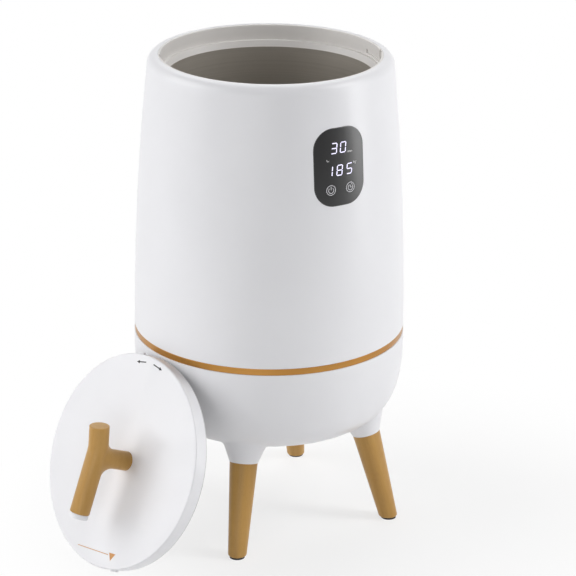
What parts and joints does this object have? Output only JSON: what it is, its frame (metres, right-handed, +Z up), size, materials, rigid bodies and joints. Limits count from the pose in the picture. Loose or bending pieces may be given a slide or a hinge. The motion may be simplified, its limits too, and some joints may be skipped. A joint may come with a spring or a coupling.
{
  "type": "towel warmer bucket",
  "caption": "Round heated bucket for towels on splayed legs, with a control panel, a dark inner liner, and a lid with a stick-like handle that leans against its side.",
  "frame": {"origin": "on the floor under the bucket's axis; the foot pads stand on z = 0", "axes": "+Z up along the bucket's axis; the control panel faces -Y; the legs stand on the diagonals; the lid leans on the -X side"},
  "size_m": [0.4625, 0.3247, 0.576],
  "materials": {
    "body_white": "injection-moulded, high gloss",
    "accent_gold": "gold-coloured metallised trim",
    "bowl_white": "injection-moulded, high gloss",
    "cover_white": "moulded, fine texture",
    "collar_grey": "moulded, satin",
    "liner_coated": "drawn aluminium with a dark release coating",
    "leg_wood": "turned beech, satin lacquer",
    "foot_rubber": "matt",
    "stud_steel": "zinc plated",
    "insert_brass": "knurled insert",
    "screw_steel": "zinc plated",
    "grommet_rubber": "matt",
    "board_green": "solder mask over glass laminate",
    "relay_case": "moulded",
    "transformer_tape": "taped winding",
    "terminal_green": "moulded",
    "capacitor_can": "sleeved can",
    "heater_foil": "foil over heating wire",
    "plate_aluminium": "cast, machined face",
    "felt_fibre": "needled glass felt",
    "thermostat_case": "pressed",
    "fuse_ceramic": "ceramic case",
    "sensor_case": "potted",
    "lens_dark": "tinted, polished",
    "key_dark": "tinted, polished",
    "module_white": "moulded reflector block",
    "switch_black": "moulded",
    "carrier_grey": "moulded",
    "lid_white": "injection-moulded, high gloss",
    "pan_aluminium": "pressed sheet",
    "seal_silicone": "silicone, satin",
    "handle_wood": "turned beech, satin lacquer",
    "tip_white": "moulded cap"
  },
  "bodies": {
    "bucket": {"outer_shell": "body_white", "accent_ring": "accent_gold", "base_bowl": "bowl_white", "bottom_cover": "cover_white", "rim_collar": "collar_grey", "liner": "liner_coated", "leg_front_left": "leg_wood", "leg_front_right": "leg_wood", "leg_back_right": "leg_wood", "leg_back_left": "leg_wood", "foot_pads": "foot_rubber", "leg_studs": "stud_steel", "leg_inserts": "insert_brass", "base_screws": "screw_steel", "cover_screws": "screw_steel", "power_board_screws": "screw_steel", "liner_screws": "screw_steel", "display_screws": "screw_steel", "cord_grommet": "grommet_rubber", "power_board": "board_green", "display_board": "board_green", "relay": "relay_case", "transformer": "transformer_tape", "terminal_block": "terminal_green", "capacitors": "capacitor_can", "heater_band": "heater_foil", "heater_plate": "plate_aluminium", "base_insulation": "felt_fibre", "insulation_sleeve": "felt_fibre", "thermostat": "thermostat_case", "thermal_fuse": "fuse_ceramic", "temperature_sensor": "sensor_case", "panel_lens": "lens_dark", "display_module": "module_white", "key_switches": "switch_black", "display_carrier": "carrier_grey"},
    "lid": {"lid_cover": "lid_white", "lid_pan": "pan_aluminium", "lid_screws": "screw_steel", "lid_seal": "seal_silicone", "lid_insulation": "felt_fibre", "handle": "handle_wood", "handle_tip": "tip_white", "handle_screw": "screw_steel", "handle_washer": "screw_steel"},
    "power_key": {"power_key": "key_dark"},
    "timer_key": {"timer_key": "key_dark"}
  },
  "joints": [
    {"name": "lid_lift", "type": "slide", "parent": "bucket", "child": "lid", "axis": [-0.9113, -0.1476, 0.3843], "range_m": [0, 0.3]},
    {"name": "power_key_press", "type": "slide", "parent": "bucket", "child": "power_key", "axis": [0, 1, 0], "range_m": [0, 0.0006], "stiffness_N_per_m": 800, "springref_m": -0.0005},
    {"name": "timer_key_press", "type": "slide", "parent": "bucket", "child": "timer_key", "axis": [0, 1, 0], "range_m": [0, 0.0006], "stiffness_N_per_m": 800, "springref_m": -0.0005}
  ]
}
